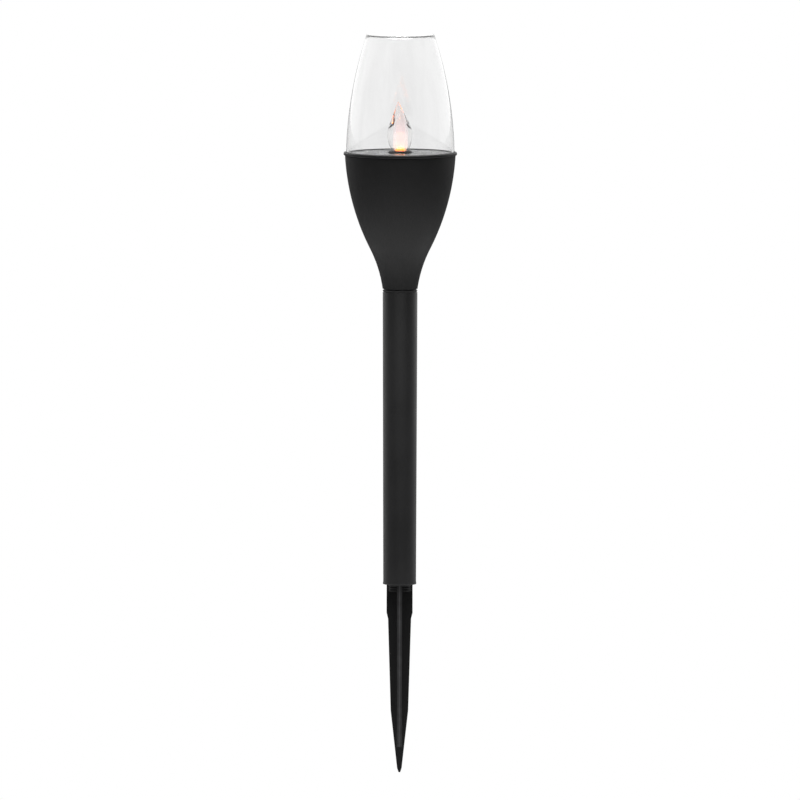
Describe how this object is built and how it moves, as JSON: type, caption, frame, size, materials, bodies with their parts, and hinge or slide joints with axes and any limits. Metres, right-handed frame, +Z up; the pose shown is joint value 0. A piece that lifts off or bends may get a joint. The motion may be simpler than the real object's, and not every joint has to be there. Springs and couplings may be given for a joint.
{
  "type": "solar torch light",
  "caption": "Garden torch light on a ground spike: a flame-shaped lens and a round solar panel under a clear tulip shade, on a flared bowl and a slim pole.",
  "frame": {"origin": "on the torch's axis at ground level, at the pole's lower face, where the spike's plug enters the pole", "axes": "+Z up along the axis from the spike's tip to the shade; +X and +Y lie along the spike's two pairs of fins; the flame lens leans towards -X; the spike is held in the ground, below the origin"},
  "size_m": [0.06, 0.06, 0.3923],
  "materials": {
    "black_moulding": "fine satin texture, moulded",
    "spike_plastic": "satin, moulded",
    "seal_rubber": "smooth",
    "clear_shade": "clear and polished",
    "gasket_foam": "matte adhesive ring",
    "panel_laminate": "black laminate",
    "silicon": "dark, glossy",
    "clear_resin": "clear, dark over the board",
    "clear_lens": "clear and polished",
    "amber_light": "diffused, warm",
    "tinned_metal": "tinned",
    "board_laminate": "green solder mask",
    "plated_steel": "zinc plated",
    "chip_black": "moulded",
    "inductor_ceramic": "lacquered",
    "capacitor_can": "satin",
    "resistor_body": "lacquered, with colour bands",
    "cell_sleeve": "green shrink sleeve on a metal can",
    "slider_black": "moulded",
    "red_insulation": "smooth",
    "black_insulation": "smooth"
  },
  "bodies": {
    "spike": {"ground_spike": "spike_plastic"},
    "pole": {"pole": "black_moulding"},
    "bowl": {"bowl": "black_moulding"},
    "head": {"head_tray": "black_moulding", "head_seal": "seal_rubber", "shade": "clear_shade", "shade_gasket": "gasket_foam", "panel_board": "panel_laminate", "solar_cells": "silicon", "panel_resin": "clear_resin", "flame_lens": "clear_lens", "light": "amber_light", "light_legs": "tinned_metal", "circuit_board": "board_laminate", "board_screws": "plated_steel", "driver_chip": "chip_black", "inductor": "inductor_ceramic", "capacitor": "capacitor_can", "resistors": "resistor_body", "head_cover": "black_moulding", "cover_screws": "plated_steel", "battery_cell": "cell_sleeve", "battery_plate": "tinned_metal", "battery_spring_plate": "tinned_metal", "battery_spring": "tinned_metal", "hinge_pin": "plated_steel", "switch_frame": "tinned_metal", "switch_body": "chip_black", "switch_terminals": "tinned_metal", "panel_lead_red": "red_insulation", "panel_lead_black": "black_insulation", "battery_lead_red": "red_insulation", "battery_lead_black": "black_insulation", "switch_lead_red": "red_insulation"},
    "cell_door": {"battery_door": "black_moulding", "battery_door_screw": "plated_steel"},
    "switch": {"switch_slider": "slider_black"}
  },
  "joints": [
    {"name": "pole_lift", "type": "slide", "parent": "spike", "child": "pole", "axis": [0, 0, 1], "range_m": [0, 0.04]},
    {"name": "bowl_lift", "type": "slide", "parent": "pole", "child": "bowl", "axis": [0, 0, 1], "range_m": [0, 0.035]},
    {"name": "head_lift", "type": "slide", "parent": "bowl", "child": "head", "axis": [0, 0, 1], "range_m": [0, 0.06]},
    {"name": "cell_door_hinge", "type": "hinge", "parent": "head", "child": "cell_door", "pos_m": [0, 0.0039, 0.2027], "axis": [1, 0, 0], "range_deg": [0, 90]},
    {"name": "switch_slide", "type": "slide", "parent": "head", "child": "switch", "axis": [1, 0, 0], "range_m": [0, 0.002]}
  ]
}
